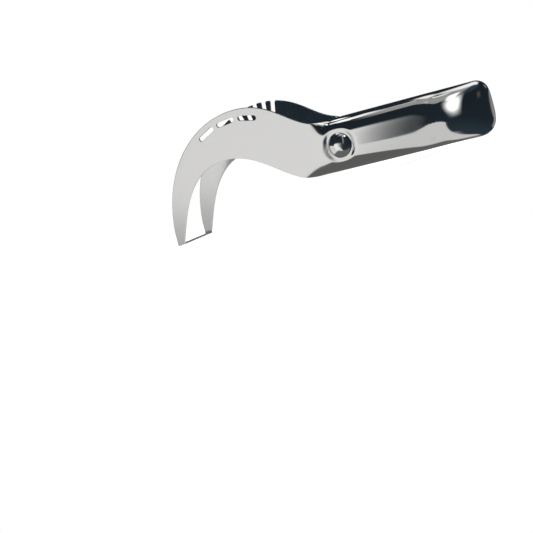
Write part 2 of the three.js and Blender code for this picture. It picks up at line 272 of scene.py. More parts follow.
def sheet_rows():
    """Rows of the sheet along the prong, the shoulder, the mouth, the grip and the heel."""
    rows = []
    mouth_t = parameter_at_x(NECK_BACK, NECK_BACK_X - MOUTH_DEPTH)
    mouth_x = (bezier(NECK_BACK, mouth_t).x + bezier(NECK_BELLY, mouth_t).x) / 2

    def add(back, belly, fold, from_tip=EDGE_ROUND):
        middle_x = (back.x + belly.x) / 2
        along = along_at_x(middle_x, HANDLE_HEIGHT / 2)
        rounding = smoothstep(middle_x, mouth_x, mouth_x + NECK_BLEND)
        waisting = smoothstep(along, -TAPER_FROM_HEEL, -WAIST_FROM_HEEL)
        swelling = smoothstep(along, -WAIST_FROM_HEEL, -HEEL_ROUND)
        ending = smoothstep(along, -HEEL_ROUND - HEEL_BLEND, -HEEL_ROUND)
        half = lerp(lerp(SPAN, WAIST_WIDTH, waisting), HEEL_WIDTH, swelling) / 2
        fullness = lerp(lerp(NECK_FULLNESS, HANDLE_FULLNESS, rounding), HEEL_FULLNESS, ending)
        inward = (belly - back).normalized() * SHEET * fold
        rows.append(Row(
            Section(back, belly, half - SEAM / 2),
            Section(back + inward, belly - inward, half - SHEET - SEAM / 2),
            fold, fullness, from_tip,
        ))

    prong_length = (CREST_HEIGHT + BACK_DIP) * QUARTER_TURN
    for distance in round_distances()[:-1]:
        t = distance / prong_length
        add(prong_back(t), bezier(PRONG_BELLY, t), 0, distance)
    start = EDGE_ROUND / prong_length
    for i in range(PRONG_ROWS):
        t = lerp(start, 1, i / PRONG_ROWS)
        ahead = lerp(t, t**BELLY_LEAD, smoothstep(t, 0, LEAD_START))
        add(prong_back(t), bezier(PRONG_BELLY, ahead), 0)
    for i in range(SHOULDER_ROWS):
        t = mouth_t * i / SHOULDER_ROWS
        add(bezier(NECK_BACK, t), bezier(NECK_BELLY, t), 0)
    for i in range(MOUTH_ROWS):
        share = i / MOUTH_ROWS
        t = lerp(mouth_t, 1, share)
        fold = math.sin(QUARTER_TURN * share**MOUTH_LEAD) ** 2
        add(bezier(NECK_BACK, t), bezier(NECK_BELLY, t), fold)

    neck_a = (NECK_BACK_A + NECK_BELLY_A) / 2
    seat_share = (SEAT_R + SEAT_BLEND - RIVET_FROM_HEEL - neck_a) / (-HEEL_ROUND - neck_a)
    shares = [seat_share * i / SEAT_ROWS for i in range(SEAT_ROWS)]
    shares += [lerp(seat_share, 1, i / GRIP_ROWS) for i in range(GRIP_ROWS)]
    for share in shares:
        back = handle_point(lerp(NECK_BACK_A, -HEEL_ROUND, share), HANDLE_HEIGHT)
        add(back, handle_point(lerp(NECK_BELLY_A, -HEEL_ROUND, share), 0), 1)

    for i in range(HEEL_ROWS + 1):
        turn = QUARTER_TURN * i / HEEL_ROWS
        sections = []
        for inset in (0, SHEET):
            a = -HEEL_ROUND + (HEEL_ROUND - inset) * math.sin(turn)
            top = HANDLE_HEIGHT - inset - heel_drop(a, HEEL_UPPER_R, inset)
            low = inset + heel_drop(a, HEEL_LOWER_R, inset)
            bulge = (HEEL_WIDTH / 2 - inset - SEAM / 2) * math.cos(turn)
            sections.append(Section(handle_point(a, top), handle_point(a, low), bulge))
        rows.append(Row(*sections, 1, HEEL_FULLNESS, EDGE_ROUND))
    return rows


def column_rises(row):
    """Heights across one section, from 1 at the back edge to -1 at the belly edge."""
    length = (row.outer.back - row.outer.belly).length
    rims = round_distances() + [2 * EDGE_ROUND]
    first, last = rims[-1], length - rims[-1]
    field = [lerp(first, last, (k + 1) / (FIELD_COLUMNS + 1)) for k in range(FIELD_COLUMNS)]
    depths = rims + field + [length - d for d in reversed(rims)]
    rises = []
    for j, depth in enumerate(depths):
        turn = QUARTER_TURN * (1 - 2 * j / (len(depths) - 1))
        folded = signed_power(math.sin(turn), 2 / HANDLE_FULLNESS)
        rises.append(lerp(1 - 2 * depth / length, folded, row.fold))
    return rises


def face_point(row, section, rise, seat_y):
    """A point of one face of the sheet, pressed in to the seat round the rivet."""
    n = row.fullness
    tuck = 1 - max(0, 1 - abs(rise) ** n) ** (1 / n)
    point = section.belly.lerp(section.back, (rise + 1) / 2)
    y = SEAM / 2 + section.bulge * (1 - row.fold * tuck)
    pressed = 1 - smoothstep((point - RIVET).length, SEAT_R, SEAT_R + SEAT_BLEND)
    return Vector((point.x, lerp(y, seat_y, pressed), point.y))


def rim_thinning(distance, radius):
    """Share of the thickness that a rounded rim leaves at a distance from it."""
    if distance >= radius:
        return 1
    gap = radius - distance
    return 1 - (radius - math.sqrt(radius * radius - gap * gap)) / (SHEET / 2)


def sheet_points(row, rise):
    """Outer and inner corner of the sheet, with its rounded rims."""
    outer = face_point(row, row.outer, rise, SEAT_Y)
    inner = face_point(row, row.inner, rise, SEAT_Y - SHEET)
    length = (row.outer.back - row.outer.belly).length
    from_back = length * (1 - rise) / 2
    from_belly = length * (1 + rise) / 2
    radius = EDGE_ROUND * (1 - row.fold)
    share = rim_thinning(max(0, min(from_back, from_belly)), radius)
    share *= rim_thinning(row.from_tip, EDGE_ROUND)
    middle = (outer + inner) / 2
    return middle + (outer - middle) * share, middle + (inner - middle) * share


def sheet_mesh(name, side):
    """Closed mesh of one sheet; side is -1 for the near one and 1 for the far one."""
    rows = sheet_rows()
    grid = [[sheet_points(row, rise) for rise in column_rises(row)] for row in rows]
    width = len(grid[0])
    inner_start = len(grid) * width
    corners = []
    for layer in (0, 1):
        for line in grid:
            corners += [placed(p[layer].x, side * p[layer].y, p[layer].z) for p in line]
    faces = []
    for i in range(len(grid) - 1):
        for j in range(width - 1):
            a = i * width + j
            b = a + width
            faces.append((a, a + 1, b + 1, b))
            faces.append(tuple(inner_start + k for k in (a, b, b + 1, a + 1)))
    last = len(grid) - 1
    rim = list(range(width - 1))
    rim += [i * width + width - 1 for i in range(last)]
    rim += [last * width + j for j in range(width - 1, 0, -1)]
    rim += [i * width for i in range(last, 0, -1)]
    for p, q in zip(rim, rim[1:] + rim[:1]):
        faces.append((q, p, inner_start + p, inner_start + q))
    if side > 0:
        faces = [tuple(reversed(f)) for f in faces]
    mesh = bpy.data.meshes.new(name)
    mesh.from_pydata(corners, [], faces)
    return mesh


def new_piece(name, mesh):
    piece = bpy.data.objects.new(name, mesh)
    bpy.context.scene.collection.objects.link(piece)
    return piece


def smooth(mesh, degrees):
    """Smooth shading, with edges steeper than this kept crisp."""
    mesh.polygons.foreach_set("use_smooth", [True] * len(mesh.polygons))
    mesh.set_sharp_from_angle(angle=math.radians(degrees))


# Geometry Nodes

def new_tree(name, inputs):
    tree = bpy.data.node_groups.new(name, "GeometryNodeTree")
    sockets = tree.interface
    sockets.new_socket("Geometry", in_out="OUTPUT", socket_type="NodeSocketGeometry")
    sockets.new_socket("Geometry", in_out="INPUT", socket_type="NodeSocketGeometry")
    for label, kind in inputs:
        sockets.new_socket(label, in_out="INPUT", socket_type="NodeSocket" + kind)
    return tree, tree.nodes.new("NodeGroupInput"), tree.nodes.new("NodeGroupOutput")


def add_node(tree, kind, links=(), **settings):
    """New node; links pair its input, by name or number, with a socket or a value."""
    node = tree.nodes.new(kind)
    for key, value in settings.items():
        setattr(node, key, value)
    for key, value in dict(links).items():
        if isinstance(value, bpy.types.NodeSocket):
            tree.links.new(value, node.inputs[key])
        else:
            node.inputs[key].default_value = value
    return node


def math_node(tree, operation, a, b=0.0):
    node = add_node(tree, "ShaderNodeMath", {0: a, 1: b}, operation=operation)
    return node.outputs[0]


def finish_tree(tree, geometry, start, end):
    """Every tree ends in Realize Instances and Set Material."""
    real = add_node(tree, "GeometryNodeRealizeInstances", {"Geometry": geometry})
    finished = add_node(
        tree, "GeometryNodeSetMaterial",
        {"Geometry": real.outputs[0], "Material": start.outputs["Material"]},
    )
    tree.links.new(finished.outputs[0], end.inputs[0])


def punched_row_tree():
    """Cuts a row of copies of a punch, spread along an arc, out of a sheet."""
    tree, start, end = new_tree("punched row on an arc", [
        ("Punch", "Object"), ("Count", "Int"), ("Pitch", "Float"), ("Turn", "Float"),
        ("Arc centre", "Vector"), ("Arc radius", "Float"), ("Material", "Material"),
    ])
    row = add_node(tree, "GeometryNodeMeshLine", {"Count": start.outputs["Count"]})
    index = add_node(tree, "GeometryNodeInputIndex").outputs[0]
    steps = math_node(tree, "SUBTRACT", start.outputs["Count"], 1.0)
    middle = math_node(tree, "MULTIPLY", steps, 0.5)
    step = math_node(tree, "SUBTRACT", index, middle)
    spread = math_node(tree, "MULTIPLY", step, start.outputs["Pitch"])
    angle = math_node(tree, "ADD", spread, start.outputs["Turn"])
    outward = add_node(tree, "ShaderNodeCombineXYZ", {
        "X": math_node(tree, "SINE", angle), "Z": math_node(tree, "COSINE", angle),
    })
    reach = add_node(
        tree, "ShaderNodeVectorMath",
        {0: outward.outputs[0], "Scale": start.outputs["Arc radius"]}, operation="SCALE",
    )
    place = add_node(
        tree, "ShaderNodeVectorMath",
        {0: reach.outputs[0], 1: start.outputs["Arc centre"]}, operation="ADD",
    )
    points = add_node(
        tree, "GeometryNodeSetPosition",
        {"Geometry": row.outputs[0], "Position": place.outputs[0]},
    )
    punch = add_node(tree, "GeometryNodeObjectInfo", {"Object": start.outputs["Punch"]})
    turn = add_node(tree, "ShaderNodeCombineXYZ", {"Y": angle})
    copies = add_node(tree, "GeometryNodeInstanceOnPoints", {
        "Points": points.outputs[0],
        "Instance": punch.outputs["Geometry"],
        "Rotation": turn.outputs[0],
    })
    punches = add_node(tree, "GeometryNodeRealizeInstances", {"Geometry": copies.outputs[0]})
    cut = add_node(tree, "GeometryNodeMeshBoolean", {
        "Mesh 1": start.outputs["Geometry"], "Mesh 2": punches.outputs[0],
    }, operation="DIFFERENCE", solver="EXACT")
    crisp = add_node(tree, "GeometryNodeSetShadeSmooth", {
        "Geometry": cut.outputs["Mesh"],
        "Selection": cut.outputs["Intersecting Edges"],
        "Shade Smooth": False,
    }, domain="EDGE")
    finish_tree(tree, crisp.outputs[0], start, end)
    return tree


def bead_tree():
    """Sweeps a weld bead along a line of points, with ripples across it."""
    tree, start, end = new_tree("rippled bead on a path", [
        ("Width", "Float"), ("Height", "Float"), ("Corner", "Float"), ("Step", "Float"),
        ("Ripple", "Float"), ("Ripple pitch", "Float"), ("Material", "Material"),
    ])
    path = add_node(tree, "GeometryNodeMeshToCurve", {"Mesh": start.outputs["Geometry"]})
    even = add_node(
        tree, "GeometryNodeResampleCurve",
        {"Curve": path.outputs[0], "Length": start.outputs["Step"]}, mode="LENGTH",
    )
    along = add_node(tree, "GeometryNodeSplineParameter").outputs["Length"]
    waves = math_node(tree, "DIVIDE", along, start.outputs["Ripple pitch"])
    wave = math_node(tree, "SINE", math_node(tree, "MULTIPLY", waves, 2 * math.pi))
    swell = math_node(tree, "MULTIPLY", wave, start.outputs["Ripple"])
    rippled = add_node(
        tree, "GeometryNodeSetCurveRadius",
        {"Curve": even.outputs[0], "Radius": math_node(tree, "ADD", swell, 1.0)},
    )
    section = add_node(tree, "GeometryNodeCurvePrimitiveQuadrilateral", {
        "Width": start.outputs["Width"], "Height": start.outputs["Height"],
    })
    rounded = add_node(tree, "GeometryNodeFilletCurve", {
        "Curve": section.outputs[0], "Count": BEAD_CORNER_STEPS, "Radius": start.outputs["Corner"],
    }, mode="POLY")
    radius = add_node(tree, "GeometryNodeInputRadius").outputs[0]
    bead = add_node(tree, "GeometryNodeCurveToMesh", {
        "Curve": rippled.outputs[0], "Profile Curve": rounded.outputs[0],
        "Scale": radius, "Fill Caps": True,
    })
    finish_tree(tree, bead.outputs[0], start, end)
    return tree


def add_tree(piece, tree, values):
    """Puts a tree on a piece, with values for its named inputs."""
    modifier = piece.modifiers.new(tree.name, "NODES")
    modifier.node_group = tree
    for item in tree.interface.items_tree:
        if item.in_out == "INPUT" and item.name in values:
            modifier[item.identifier] = values[item.name]


def settle(piece):
    """Turns what the modifiers make into the piece's own plain mesh."""
    shown = piece.evaluated_get(bpy.context.evaluated_depsgraph_get())
    mesh = bpy.data.meshes.new_from_object(shown)
    piece.modifiers.clear()
    piece.data = mesh


# Materials

FINE_DETAIL = 4.0
COARSE_DETAIL = 2.0
NOISE_RANGE = (0.3, 0.7)  # where most of a noise lies

# Sheet steel
SHEET_COLOR = (0.66, 0.655, 0.645)
POLISH_RANGE = (0.002, 0.022)  # metres along the tool, over which satin turns into polish
POLISH_WAVER = 0.006
WAVER_SCALE = 90
GRAIN_SCALE = 2600
GRAIN_STRETCH = (0.06, 1, 1)
SMUDGE_SCALE = 70
SMUDGE_RANGE = (0.35, 0.7)
SMUDGE_RELIEF = 0.2  # how much of the relief is left on the polish
SATIN_ROUGH = (0.14, 0.2)
POLISHED_ROUGH = (0.045, 0.085)
SHEET_RELIEF_DEPTH = 0.000004
SHEET_RELIEF = 0.25

PLAIN_RELIEF_DEPTH = 0.00001


def new_material(name, color, metallic):
    material = bpy.data.materials.new(name)
    material.use_nodes = True
    tree = material.node_tree
    shader = tree.nodes["Principled BSDF"]
    shader.inputs["Base Color"].default_value = (*color, 1)
    shader.inputs["Metallic"].default_value = metallic
    coords = tree.nodes.new("ShaderNodeTexCoord").outputs["Object"]
    return material, tree, shader, coords


def noise(tree, coords, scale, stretch=(1, 1, 1), detail=FINE_DETAIL):
    mapping = add_node(tree, "ShaderNodeMapping", {"Vector": coords, "Scale": stretch})
    node = add_node(
        tree, "ShaderNodeTexNoise",
        {"Vector": mapping.outputs[0], "Scale": scale, "Detail": detail},
    )
    return node.outputs["Fac"]


def map_range(tree, value, source, target):
    """Eases a value from one range, low to high, into another."""
    node = add_node(tree, "ShaderNodeMapRange", {
        "Value": value, "From Min": source[0], "From Max": source[1],
        "To Min": target[0], "To Max": target[1],
    }, interpolation_type="SMOOTHSTEP")
    return node.outputs["Result"]


def mix(tree, factor, a, b):
    node = add_node(tree, "ShaderNodeMix", {"Factor": factor, "A": a, "B": b})
    return node.outputs["Result"]


def bump(tree, height, distance, strength):
    node = add_node(
        tree, "ShaderNodeBump",
        {"Height": height, "Distance": distance, "Strength": strength},
    )
    return node.outputs["Normal"]


def sheet_steel():
    """Satin on the arms, mirror polish from the neck to the heel."""
    material, tree, shader, coords = new_material("satin to polished sheet steel", SHEET_COLOR, 1.0)
    x = add_node(tree, "ShaderNodeSeparateXYZ", {0: coords}).outputs["X"]
    waves = noise(tree, coords, WAVER_SCALE, detail=COARSE_DETAIL)
    waver = math_node(tree, "MULTIPLY", waves, POLISH_WAVER)
    polish = map_range(tree, math_node(tree, "ADD", x, waver), POLISH_RANGE, (0.0, 1.0))
    grain = noise(tree, coords, GRAIN_SCALE, GRAIN_STRETCH)
    smudge = noise(tree, coords, SMUDGE_SCALE)
    satin_rough = map_range(tree, grain, NOISE_RANGE, SATIN_ROUGH)
    polished_rough = map_range(tree, smudge, SMUDGE_RANGE, POLISHED_ROUGH)
    tree.links.new(mix(tree, polish, satin_rough, polished_rough), shader.inputs["Roughness"])
    relief = mix(tree, polish, grain, math_node(tree, "MULTIPLY", smudge, SMUDGE_RELIEF))
    tree.links.new(bump(tree, relief, SHEET_RELIEF_DEPTH, SHEET_RELIEF), shader.inputs["Normal"])
    return material


def plain_steel(name, color, rough, grain_scale, relief, stretch=(1, 1, 1), metallic=1.0):
    """One finish all over, with a grain in its roughness and its relief."""
    material, tree, shader, coords = new_material(name, color, metallic)
    grain = noise(tree, coords, grain_scale, stretch)
    tree.links.new(map_range(tree, grain, NOISE_RANGE, rough), shader.inputs["Roughness"])
    tree.links.new(bump(tree, grain, PLAIN_RELIEF_DEPTH, relief), shader.inputs["Normal"])
    return material


SHEET_STEEL = sheet_steel()
DOME_STEEL = plain_steel(
    "polished rivet steel", color=(0.78, 0.775, 0.77), rough=(0.1, 0.16), grain_scale=300,
    relief=0.1,
)
BLADE_STEEL = plain_steel(
    "ground blade steel", color=(0.74, 0.735, 0.725), rough=(0.34, 0.46), grain_scale=2400,
    relief=0.4, stretch=(1, 0.05, 1), metallic=0.7,
)
WELD_STEEL = plain_steel(
    "weld steel", color=(0.7, 0.69, 0.67), rough=(0.4, 0.55), grain_scale=900,
    relief=0.2, metallic=0.4,
)
SPACER_STEEL = plain_steel(
    "turned spacer steel", color=(0.7, 0.695, 0.69), rough=(0.25, 0.4), grain_scale=1800,
    relief=0.3, stretch=(1, 0.1, 1),
)


# Punches, in millimetres
PUNCH_REACH = 1  # how far a punch passes the faces of the sheet
PUNCH_FLARE = 0.86  # how much wider it is there, as a share of the rim's rounding
PUNCH_TURNS = (9, 30, 50, 70, 90)  # degrees round the rim at which the rounding is sampled
NOTCH_MOUTH = 6  # how far the comb's punch passes the edge of the sheet
HOLE_PARTING = 0.001  # keeps the two ends of a round punch apart


def long_hole(length, width, steps=10):
    """Outline of a long hole with round ends, lying along the first axis."""
    r = width / 2
    reach = length / 2 - r
    points = []
    for i in range(2 * steps + 2):
        end = 0 if i <= steps else 1
        angle = -QUARTER_TURN + math.pi * ((i - end) / steps)
        points.append(Vector((reach * (1 - 2 * end) + r * math.cos(angle), r * math.sin(angle))))
    return points


def bell_notch(depth, width, flare, steps=8):
    """Outline of a notch that runs inwards from the origin and flares at its mouth."""
    r = width / 2
    points = [Vector((r + flare, NOTCH_MOUTH)), Vector((r + flare, 0))]
    for i in range(1, steps + 1):
        angle = QUARTER_TURN * i / steps
        points.append(Vector((
            r + flare - flare * math.sin(angle),
            -flare + flare * math.cos(angle),
        )))
    for i in range(2 * steps + 1):
        angle = -math.pi * i / (2 * steps)
        points.append(Vector((r * math.cos(angle), -(depth - r) + r * math.sin(angle))))
    for i in range(steps, 0, -1):
        angle = QUARTER_TURN * i / steps
        points.append(Vector((
            -r - flare + flare * math.sin(angle),
            -flare + flare * math.cos(angle),
        )))
    points += [Vector((-r - flare, 0)), Vector((-r - flare, NOTCH_MOUTH))]
    return points[::-1]


def widened(outline, amount):
    """The outline, run anticlockwise, moved outwards by an amount."""
    moved = []
    count = len(outline)
    for i, point in enumerate(outline):
        before = (point - outline[i - 1]).normalized()
        after = (outline[(i + 1) % count] - point).normalized()
        along = (before + after).normalized()
        moved.append(point + Vector((along.y, -along.x)) * amount)
    return moved


def punch_piece(name, outline):
    """A punch for the sheet: it widens towards both faces, so it leaves rounded rims."""
    levels = [(-SHEET / 2 - PUNCH_REACH, PUNCH_FLARE)]
    for degrees in PUNCH_TURNS:
        turn = math.radians(degrees)
        levels.append((-SHEET / 2 + RIM_ROUND * (1 - math.cos(turn)), 1 - math.sin(turn)))
    levels += [(-y, share) for y, share in reversed(levels)]
    mesh = bmesh.new()
    rings = []
    for y, share in levels:
        ring = widened(outline, RIM_ROUND * share)
        rings.append([mesh.verts.new((p.x * MM, y * MM, p.y * MM)) for p in ring])
    for low, high in zip(rings, rings[1:]):
        for k in range(len(low)):
            n = (k + 1) % len(low)
            mesh.faces.new((low[k], low[n], high[n], high[k]))
    mesh.faces.new(rings[0][::-1])
    mesh.faces.new(rings[-1])
    bmesh.ops.recalc_face_normals(mesh, faces=mesh.faces)
    data = bpy.data.meshes.new(name)
    mesh.to_mesh(data)
    mesh.free()
    return new_piece(name, data)


# Pieces

def sheet_piece(name, side, punch, row_values):
    """One arm with its half of the handle, a row of punched openings and the rivet's hole."""
    piece = new_piece(name, sheet_mesh(name, side))
    tree = punched_row_tree()
    middle_y = side * (SPAN - SHEET) / 2
    centre = placed(ARC_CENTRE_X, middle_y, ARC_CENTRE_Z)
    add_tree(piece, tree, {
        "Punch": punch, "Arc centre": centre, "Material": SHEET_STEEL, **row_values,
    })
    settle(piece)
    hole = punch_piece("rivet_punch", long_hole(2 * HOLE_R + HOLE_PARTING, 2 * HOLE_R))
    add_tree(piece, tree, {
        "Punch": hole, "Count": 1, "Pitch": 0.0, "Turn": 0.0, "Arc radius": 0.0,
        "Arc centre": placed(RIVET.x, side * (SEAT_Y - SHEET / 2), RIVET.y),
        "Material": SHEET_STEEL,
    })
    settle(piece)
    bpy.data.objects.remove(hole)
    bpy.data.objects.remove(punch)
    smooth(piece.data, SHEET_CRISP)
    return piece


def turned_piece(name, profile, direction):
    """Closed piece turned about the rivet's axis from points of radius and distance along it."""
    mesh = bmesh.new()
    line = [mesh.verts.new((r * MM, direction * y * MM, 0)) for r, y in profile]
    edges = [mesh.edges.new(pair) for pair in zip(line, line[1:])]
    bmesh.ops.spin(
        mesh, geom=line + edges, cent=(0, 0, 0), axis=(0, 1, 0),
        angle=4 * QUARTER_TURN, steps=TURNED_SIDES,
    )
    bmesh.ops.remove_doubles(mesh, verts=mesh.verts, dist=MERGE_DISTANCE)
    bmesh.ops.recalc_face_normals(mesh, faces=mesh.faces)
    bmesh.ops.translate(mesh, verts=mesh.verts, vec=placed(RIVET.x, 0, RIVET.y))
    data = bpy.data.meshes.new(name)
    mesh.to_mesh(data)
    mesh.free()
    smooth(data, TURNED_CRISP)
    return new_piece(name, data)


# Edge of the head: the dome ends inside the rim, by a share of the edge's rounding, and the next
# points lie at shares of the way out to the rim and down to the seat.
DOME_INSET = 0.5
SHOULDER_OUT = 0.7
SHOULDER_DOWN = 0.25
RIM_DOWN = 0.55


def dome_profile(steps=16):
    """The head from its pole to its flat, as radius and height above the seat."""
    height = HEAD_HEIGHT + FIT
    rise = height - HEAD_ROUND
    sphere_r = (HEAD_R * HEAD_R + rise * rise) / (2 * rise)
    sweep = math.asin((HEAD_R - HEAD_ROUND * DOME_INSET) / sphere_r)
    points = []
    for i in range(steps + 1):
        angle = sweep * i / steps
        points.append((sphere_r * math.sin(angle), height - sphere_r * (1 - math.cos(angle))))
    last_r, last_h = points[-1]
    points.append((lerp(last_r, HEAD_R, SHOULDER_OUT), lerp(last_h, 0, SHOULDER_DOWN)))
    points.append((HEAD_R, lerp(last_h, 0, RIM_DOWN)))
    points.append((HEAD_R, CHAMFER_TOP))
    points.append((HEAD_R - CHAMFER_WIDTH, HEAD_FLAT))
    return points


HEAD_Y = SEAT_Y + HEAD_GAP
FLAT_Y = HEAD_Y + HEAD_FLAT
SHANK_END = SEAT_Y + CAP_BORE
BORE_END = SHANK_END + FIT

head_profile = [(r, HEAD_Y + h) for r, h in dome_profile()]
rivet_profile = head_profile + [(SHANK_R, FLAT_Y), (SHANK_R, -SHANK_END), (0, -SHANK_END)]
cap_profile = head_profile + [(HOLE_R, FLAT_Y), (HOLE_R, BORE_END), (0, BORE_END)]

near_sheet = sheet_piece(
    "slotted_arm_and_handle", -1,
    punch_piece("slot_punch", long_hole(SLOT_LENGTH, SLOT_WIDTH)),
    {
        "Count": SLOT_COUNT, "Pitch": SLOT_PITCH, "Turn": 0.0,
        "Arc radius": (ARC_RADIUS - SLOT_INSET) * MM,
    },
)
far_sheet = sheet_piece(
    "combed_arm_and_handle", 1,
    punch_piece("comb_punch", bell_notch(NOTCH_DEPTH, NOTCH_WIDTH, TOOTH_ROUND)),
    {
        "Count": NOTCH_COUNT, "Pitch": NOTCH_PITCH, "Turn": NOTCH_TURN,
        "Arc radius": ARC_RADIUS * MM,
    },
)
rivet = turned_piece("domed_rivet", rivet_profile, -1)
rivet_cap = turned_piece("domed_rivet_cap", cap_profile, 1)
for piece in (rivet, rivet_cap):
    piece.data.materials.append(DOME_STEEL)


# Weld beads, in millimetres
SEAM_CORNER = 0.05
SEAM_STEP = 0.8
BEAD_STEP = 0.08
RIPPLE_PITCH = 0.55
# Tip beads, as shares of the weld's leg or of the bead's radius
BEAD_FILL = 0.45  # radius
BEAD_SINK = 0.7  # distance of the bead's middle from blade and prong
BEAD_END = 0.5  # distance of its end from the bevel
BEAD_CORNER = 0.98  # rounding of its section, 1 is a circle
BEAD_RIPPLE = 0.07
BEAD_R = WELD_LEG * BEAD_FILL


def path_piece(name, points):
    """A line of points, for a bead to follow."""
    mesh = bpy.data.meshes.new(name)
    mesh.from_pydata(points, [(i, i + 1) for i in range(len(points) - 1)], [])
    return new_piece(name, mesh)


def seam_path(steps=14):
    """Middle of the weld: along the top, round the heel and back along the belly."""
    inset = SHEET / 2
    points = [handle_point(NECK_BACK_A, HANDLE_HEIGHT - inset)]
    for radius, centre_h, start in (
        (HEEL_UPPER_R, HANDLE_HEIGHT - HEEL_UPPER_R, QUARTER_TURN),
        (HEEL_LOWER_R, HEEL_LOWER_R, 0),
    ):
        for i in range(steps + 1):
            angle = start - QUARTER_TURN * i / steps
            points.append(handle_point(
                -radius + (radius - inset) * math.cos(angle),
                centre_h + (radius - inset) * math.sin(angle),
            ))
    points.append(handle_point(NECK_BELLY_A, inset))
    return [placed(p.x, 0, p.y) for p in points]


# The seam is ground flush, so its bead has no ripple
BEAD = bead_tree()
seam_weld = path_piece("handle_seam", seam_path())
add_tree(seam_weld, BEAD, {
    "Width": SEAM * MM, "Height": SHEET * MM, "Corner": SEAM_CORNER * MM, "Step": SEAM_STEP * MM,
    "Ripple": 0.0, "Ripple pitch": 1.0, "Material": SHEET_STEEL,
})
settle(seam_weld)
smooth(seam_weld.data, SEAM_CRISP)


def tip_weld(name, side):
    """A rippled bead in the corner between the blade and one prong."""
    y = side * (PRONG_INNER_Y - BEAD_R * BEAD_SINK)
    z = BLADE_THICKNESS + BEAD_R * BEAD_SINK
    ends = (BLADE_SETBACK + BEAD_R, TIP_WIDTH - BLADE_BEVEL - BEAD_R * BEAD_END)
    piece = path_piece(name, [placed(x, y, z) for x in ends])
    add_tree(piece, BEAD, {
        "Width": 2 * BEAD_R * MM, "Height": 2 * BEAD_R * MM, "Corner": BEAD_R * BEAD_CORNER * MM,
        "Step": BEAD_STEP * MM, "Ripple": BEAD_RIPPLE, "Ripple pitch": RIPPLE_PITCH * MM,
        "Material": WELD_STEEL,
    })
    settle(piece)
    smooth(piece.data, BEAD_CRISP)
    return piece


near_tip_weld = tip_weld("near_tip_bead", -1)
far_tip_weld = tip_weld("far_tip_bead", 1)


def tip_blade():
    """The cross blade: flat underside, bevelled edge towards the handle, eased corners."""
    outline = [
        (BLADE_SETBACK, 0), (TIP_WIDTH - EDGE_BACK, 0), (TIP_WIDTH, EDGE_UP),
        (TIP_WIDTH - BLADE_BEVEL, BLADE_THICKNESS), (BLADE_SETBACK, BLADE_THICKNESS),
    ]
    half = PRONG_INNER_Y
    mesh = bmesh.new()
    near = [mesh.verts.new(placed(x, -half, z)) for x, z in outline]
    far = [mesh.verts.new(placed(x, half, z)) for x, z in outline]
    mesh.faces.new(near)
    mesh.faces.new(far[::-1])
    for k in range(len(outline)):
        n = (k + 1) % len(outline)
        mesh.faces.new((near[k], far[k], far[n], near[n]))
    bmesh.ops.recalc_face_normals(mesh, faces=mesh.faces)
    data = bpy.data.meshes.new("cross_blade")
    mesh.to_mesh(data)
    mesh.free()
    piece = new_piece("cross_blade", data)
    data.materials.append(BLADE_STEEL)
    eased = piece.modifiers.new("eased edges", "BEVEL")
    eased.width = BLADE_EASE * MM
    eased.segments = EASE_STEPS
    settle(piece)
    smooth(piece.data, BLADE_CRISP)
    return piece


blade = tip_blade()

for piece, node, slot in (
    (near_sheet, "near_side_shell", "shell_steel"),
    (far_sheet, "far_side_shell", "shell_steel"),
    (rivet, "neck_rivet", "dome_steel"),
    (rivet_cap, "neck_rivet_cap", "dome_steel"),
    (seam_weld, "handle_seam_weld", "weld_steel"),
    (near_tip_weld, "near_tip_weld", "weld_steel"),
    (far_tip_weld, "far_tip_weld", "weld_steel"),
    (blade, "tip_blade", "blade_steel"),
):
    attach(piece, "root")
    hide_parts(node)

# The spacer keeps its own solid, with a finer steel
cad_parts["neck_spacer"].material_slots[0].material = SPACER_STEEL


# Camera: the tool is seen with its handle raised, so the camera is turned about the Y axis instead.
HELD_TILT = 23.2  # degrees
HELD = Matrix.Rotation(math.radians(HELD_TILT), 3, "Y")
CAMERA_AZIMUTH = math.radians(26.3)
CAMERA_ELEVATION = math.radians(14.5)
CAMERA_DISTANCE = 0.875
CAMERA_AIM = Vector((-0.06565, 0, -0.0311))
FOCAL_PIXELS = 1388
IMAGE_SIDE = 533
SENSOR_WIDTH = 36
CLIP_NEAR = 0.01
CLIP_FAR = 60


def held_direction(azimuth, elevation):
    """A direction round the held tool: azimuth 0 is its near side, a quarter turn the heel."""
    return HELD @ Vector((
        math.sin(azimuth) * math.cos(elevation),
        -math.cos(azimuth) * math.cos(elevation),
        math.sin(elevation),
    ))


camera_data = bpy.data.cameras.new("camera")
camera_data.sensor_width = SENSOR_WIDTH
camera_data.lens = SENSOR_WIDTH * FOCAL_PIXELS / IMAGE_SIDE
camera_data.clip_start = CLIP_NEAR
camera_data.clip_end = CLIP_FAR
camera = bpy.data.objects.new("camera", camera_data)
bpy.context.scene.collection.objects.link(camera)
back = held_direction(CAMERA_AZIMUTH, CAMERA_ELEVATION)
right = HELD @ Vector((math.cos(CAMERA_AZIMUTH), math.sin(CAMERA_AZIMUTH), 0))
turned = Matrix((right, back.cross(right), back)).transposed().to_4x4()
camera.matrix_world = Matrix.Translation(CAMERA_AIM + back * CAMERA_DISTANCE) @ turned
bpy.context.scene.camera = camera


